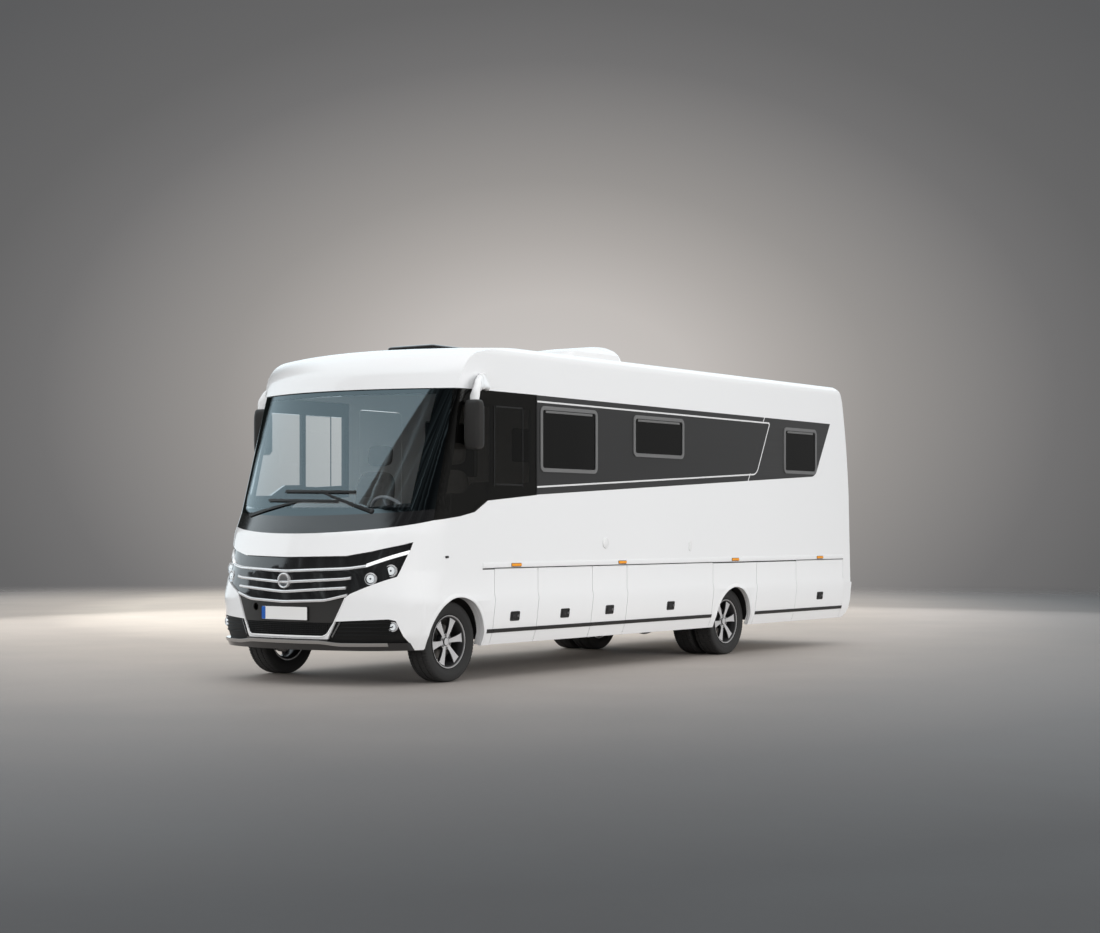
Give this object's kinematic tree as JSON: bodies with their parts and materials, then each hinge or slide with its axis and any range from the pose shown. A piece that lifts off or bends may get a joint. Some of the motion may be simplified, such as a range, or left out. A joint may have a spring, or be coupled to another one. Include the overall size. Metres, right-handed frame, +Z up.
{
  "type": "integrated motorhome on a twin-wheel chassis",
  "caption": "White integrated motorhome with a dark glazed band, six-spoke wheels, twin rear wheels, lockers along the skirt, an entry door, a garage door and roof lids.",
  "frame": {"origin": "on the ground under the middle of the vehicle's length, on its centre line", "axes": "-Y to the front of the vehicle, +X to its left, +Z up"},
  "size_m": [2.64, 8.43, 3.2],
  "materials": {
    "body_white": "gloss",
    "band_grey": "gloss",
    "gloss_black": "gloss",
    "gunmetal": "satin",
    "black_plastic": "matte",
    "chrome": "polished",
    "alloy": "machined",
    "tyre_rubber": "matte",
    "chassis_black": "satin",
    "zinc_steel": "satin",
    "engine_iron": "rough",
    "floor_board": "satin",
    "sheet_steel": "satin",
    "cab_glass": "clear",
    "tinted_glass": "tinted",
    "lamp_clear": "clear",
    "lamp_red": "clear",
    "seat_cloth": "woven",
    "dash_plastic": "matte"
  },
  "bodies": {
    "vehicle": {"side_wall_left": "body_white", "side_wall_right": "body_white", "roof_panel": "body_white", "roof_cap": "body_white", "rear_wall": "body_white", "skirt_panels": "body_white", "front_mask": "body_white", "bumper_lip": "gunmetal", "plate_shield": "gunmetal", "bumper_grilles": "black_plastic", "grille_housing": "gloss_black", "grille_bars": "chrome", "daylight_strips": "lamp_clear", "headlamps": "gloss_black", "round_lamps": "lamp_clear", "cab_frame": "gloss_black", "windshield": "cab_glass", "cab_side_glass": "tinted_glass", "window_frames": "gunmetal", "window_panes": "tinted_glass", "mirrors": "gloss_black", "wipers": "black_plastic", "dashboard": "dash_plastic", "cab_seats": "seat_cloth", "air_conditioner": "body_white", "skylight_frames": "black_plastic", "rear_lamps": "lamp_red", "hinge_rails": "zinc_steel", "floor_structure": "floor_board", "locker_boxes": "sheet_steel", "wheel_houses": "black_plastic", "chassis_frame": "chassis_black", "engine_block": "engine_iron", "front_axle": "chassis_black", "rear_axle": "chassis_black"},
    "knuckle_left": {"knuckle_left": "chassis_black"},
    "front_wheel_left": {"front_rim_left": "alloy", "front_tyre_left": "tyre_rubber"},
    "rear_wheels_left": {"rear_rims_left": "alloy", "rear_tyres_left": "tyre_rubber"},
    "knuckle_right": {"knuckle_right": "chassis_black"},
    "front_wheel_right": {"front_rim_right": "alloy", "front_tyre_right": "tyre_rubber"},
    "rear_wheels_right": {"rear_rims_right": "alloy", "rear_tyres_right": "tyre_rubber"},
    "locker_flap_left_1": {"locker_flap_left_1": "body_white"},
    "locker_flap_left_2": {"locker_flap_left_2": "body_white"},
    "locker_flap_left_3": {"locker_flap_left_3": "body_white"},
    "locker_flap_left_4": {"locker_flap_left_4": "body_white"},
    "locker_flap_left_5": {"locker_flap_left_5": "body_white"},
    "locker_flap_right_1": {"locker_flap_right_1": "body_white"},
    "locker_flap_right_2": {"locker_flap_right_2": "body_white"},
    "garage_door": {"garage_door": "body_white"},
    "entry_door": {"entry_door": "body_white"},
    "skylight_front": {"skylight_front": "gloss_black"},
    "skylight_rear": {"skylight_rear": "gloss_black"}
  },
  "joints": [
    {"name": "steer_left", "type": "hinge", "parent": "vehicle", "child": "knuckle_left", "pos_m": [0.79, -3.215, 0.35], "axis": [0, 0, 1], "range_deg": [-36, 36]},
    {"name": "roll_front_left", "type": "hinge", "parent": "knuckle_left", "child": "front_wheel_left", "pos_m": [0.933, -3.215, 0.35], "axis": [1, 0, 0], "continuous": true},
    {"name": "roll_rear_left", "type": "hinge", "parent": "vehicle", "child": "rear_wheels_left", "pos_m": [0.933, 1.525, 0.35], "axis": [1, 0, 0], "continuous": true},
    {"name": "steer_right", "type": "hinge", "parent": "vehicle", "child": "knuckle_right", "pos_m": [-0.79, -3.215, 0.35], "axis": [0, 0, 1], "range_deg": [-36, 36]},
    {"name": "roll_front_right", "type": "hinge", "parent": "knuckle_right", "child": "front_wheel_right", "pos_m": [-0.933, -3.215, 0.35], "axis": [1, 0, 0], "continuous": true},
    {"name": "roll_rear_right", "type": "hinge", "parent": "vehicle", "child": "rear_wheels_right", "pos_m": [-0.933, 1.525, 0.35], "axis": [1, 0, 0], "continuous": true},
    {"name": "flap_left_1", "type": "hinge", "parent": "vehicle", "child": "locker_flap_left_1", "pos_m": [1.136, -2.382, 0.969], "axis": [0, -1, 0], "range_deg": [0, 95]},
    {"name": "flap_left_2", "type": "hinge", "parent": "vehicle", "child": "locker_flap_left_2", "pos_m": [1.136, -1.6095, 0.969], "axis": [0, -1, 0], "range_deg": [0, 95]},
    {"name": "flap_left_3", "type": "hinge", "parent": "vehicle", "child": "locker_flap_left_3", "pos_m": [1.136, -0.868, 0.969], "axis": [0, -1, 0], "range_deg": [0, 95]},
    {"name": "flap_left_4", "type": "hinge", "parent": "vehicle", "child": "locker_flap_left_4", "pos_m": [1.136, 0.247, 0.969], "axis": [0, -1, 0], "range_deg": [0, 95]},
    {"name": "flap_left_5", "type": "hinge", "parent": "vehicle", "child": "locker_flap_left_5", "pos_m": [1.136, 3.4305, 0.969], "axis": [0, -1, 0], "range_deg": [0, 95]},
    {"name": "flap_right_1", "type": "hinge", "parent": "vehicle", "child": "locker_flap_right_1", "pos_m": [-1.136, -2.382, 0.969], "axis": [0, 1, 0], "range_deg": [0, 95]},
    {"name": "flap_right_2", "type": "hinge", "parent": "vehicle", "child": "locker_flap_right_2", "pos_m": [-1.136, 0.247, 0.969], "axis": [0, 1, 0], "range_deg": [0, 95]},
    {"name": "garage_door_hinge", "type": "hinge", "parent": "vehicle", "child": "garage_door", "pos_m": [-1.136, 2.6205, 1.643], "axis": [0, 1, 0], "range_deg": [0, 90]},
    {"name": "entry_door_hinge", "type": "hinge", "parent": "vehicle", "child": "entry_door", "pos_m": [-1.149, -1.9115, 1.64], "axis": [0, 0, 1], "range_deg": [0, 95]},
    {"name": "skylight_front_hinge", "type": "hinge", "parent": "vehicle", "child": "skylight_front", "pos_m": [0, -1.785, 3.0103], "axis": [-1, 0, 0], "range_deg": [0, 60]},
    {"name": "skylight_rear_hinge", "type": "hinge", "parent": "vehicle", "child": "skylight_rear", "pos_m": [0, 2.575, 3.0103], "axis": [-1, 0, 0], "range_deg": [0, 60]}
  ],
  "couplings": [
    {"joint": "steer_right", "follows": "steer_left", "ratio": 1}
  ]
}
